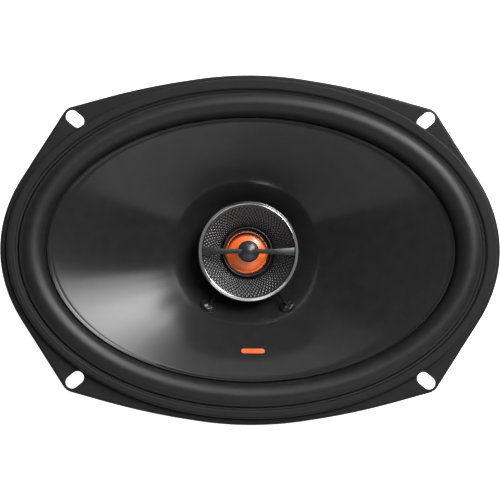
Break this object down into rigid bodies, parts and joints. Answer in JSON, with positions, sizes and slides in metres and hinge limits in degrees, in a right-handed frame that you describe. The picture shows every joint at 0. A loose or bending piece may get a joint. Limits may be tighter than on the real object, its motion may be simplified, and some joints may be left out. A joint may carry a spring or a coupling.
{
  "type": "coaxial car speaker",
  "caption": "Oval coaxial car speaker: a black cone on a stamped basket with slotted ears, and an orange dome tweeter in a chrome ring on a post in front of it.",
  "frame": {"origin": "centre of the flange's rear face, which seats on the panel", "axes": "+Z forward out of the cone towards the listener, +X along the oval's long side, +Y along its short side, away from the terminals"},
  "size_m": [0.235, 0.1642, 0.0868],
  "materials": {
    "black_steel": "satin black powder coat on pressed steel",
    "gasket_rubber": "matt black moulded rubber",
    "surround_rubber": "satin black butyl rubber",
    "cone_film": "satin black fibre-filled plastic, finely brushed",
    "badge_print": "orange print, no lettering",
    "spider_cloth": "resin-stiffened woven cloth",
    "former_film": "brown bonded coil tube",
    "copper_wire": "enamelled copper winding",
    "black_glue": "glossy black set glue",
    "plated_steel": "zinc-plated steel",
    "ferrite": "matt dark grey ferrite",
    "zinc_steel": "bright zinc plating",
    "black_plastic": "satin black moulded plastic",
    "nickel_magnet": "nickel plating",
    "dome_film": "satin orange film",
    "dome_edge": "dark red film",
    "horn_plastic": "dark grey plastic with fine crossed ribs",
    "trim_chrome": "dark polished chrome",
    "plug_plastic": "satin dark grey plastic",
    "lead_sheath": "black flexible sheath",
    "tinsel_braid": "silvery braided tinsel wire",
    "board_phenolic": "dark brown phenolic board",
    "terminal_brass": "bright brass",
    "terminal_tin": "tin-plated steel",
    "capacitor_sleeve": "dark blue shrink sleeve, no print"
  },
  "bodies": {
    "frame_assembly": {"basket": "black_steel", "front_gasket": "gasket_rubber", "surround": "surround_rubber", "spider": "spider_cloth", "top_plate": "plated_steel", "ferrite_magnet": "ferrite", "pole_yoke": "plated_steel", "plate_rivets": "zinc_steel", "tweeter_post": "black_plastic", "post_screw": "zinc_steel", "tweeter_pot": "zinc_steel", "tweeter_magnet": "nickel_magnet", "tweeter_pole_plate": "plated_steel", "dome_suspension": "dome_edge", "dome_bezel": "plug_plastic", "horn": "horn_plastic", "tweeter_housing": "black_plastic", "trim_ring": "trim_chrome", "phase_plug": "plug_plastic", "tweeter_leads": "lead_sheath", "tinsel_leads": "tinsel_braid", "terminal_board": "board_phenolic", "positive_terminal": "terminal_brass", "negative_terminal": "terminal_tin", "terminal_rivets": "zinc_steel", "crossover_capacitor": "capacitor_sleeve", "capacitor_leads": "tinsel_braid"},
    "cone_assembly": {"cone": "cone_film", "cone_badge": "badge_print", "voice_coil_former": "former_film", "voice_coil_winding": "copper_wire", "glue_dabs": "black_glue"},
    "dome_assembly": {"tweeter_dome": "dome_film", "tweeter_coil": "copper_wire"}
  },
  "joints": [
    {"name": "cone_travel", "type": "slide", "parent": "frame_assembly", "child": "cone_assembly", "axis": [0, 0, 1], "range_m": [-0.004, 0.004], "stiffness_N_per_m": 1500, "deforming": ["surround", "spider", "tweeter_leads", "tinsel_leads"]},
    {"name": "dome_travel", "type": "slide", "parent": "frame_assembly", "child": "dome_assembly", "axis": [0, 0, 1], "range_m": [-0.0003, 0.0003], "stiffness_N_per_m": 50, "deforming": ["dome_suspension"]}
  ]
}
